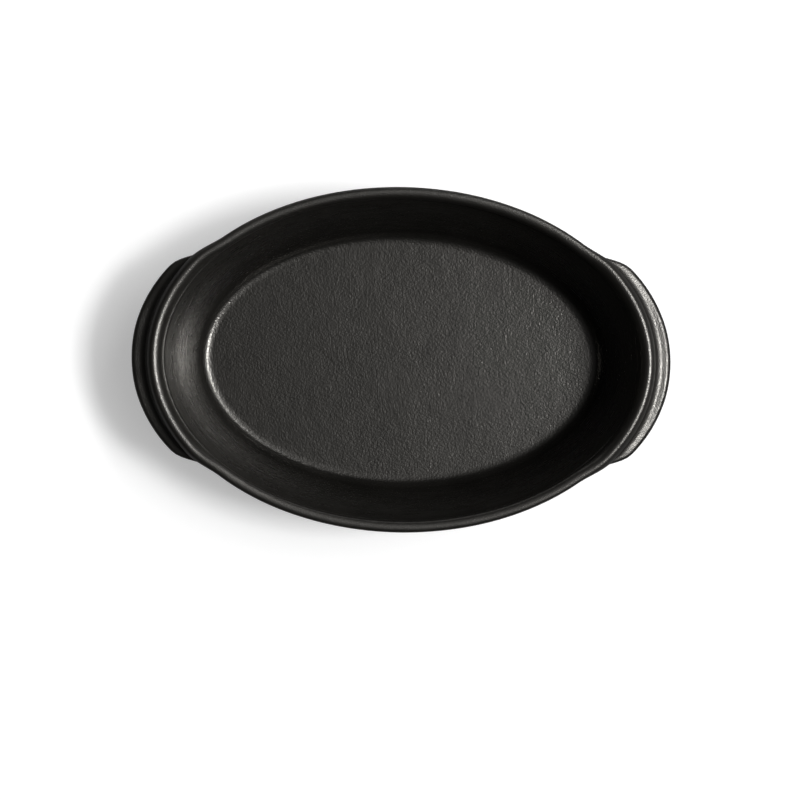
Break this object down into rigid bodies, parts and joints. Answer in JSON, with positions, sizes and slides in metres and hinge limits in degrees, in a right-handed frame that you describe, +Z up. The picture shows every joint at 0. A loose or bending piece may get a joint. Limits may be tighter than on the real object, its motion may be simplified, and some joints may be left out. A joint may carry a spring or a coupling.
{
  "type": "oval baking dish",
  "caption": "Oval ceramic baking dish with sloping walls, a rounded rim and a curved lug handle at each end, finished in a satin black glaze.",
  "frame": {"origin": "middle of the foot ring, on the surface that the dish stands on", "axes": "+X along the dish through both handles, +Y across it, +Z up out of its mouth"},
  "size_m": [0.3494, 0.222, 0.075],
  "materials": {
    "black_glaze": "satin",
    "bare_clay": "matte"
  },
  "bodies": {
    "root": {"foot_ring": "bare_clay", "base": "black_glaze", "wall": "black_glaze", "rim": "black_glaze", "handle_left": "black_glaze", "handle_right": "black_glaze"}
  },
  "joints": []
}
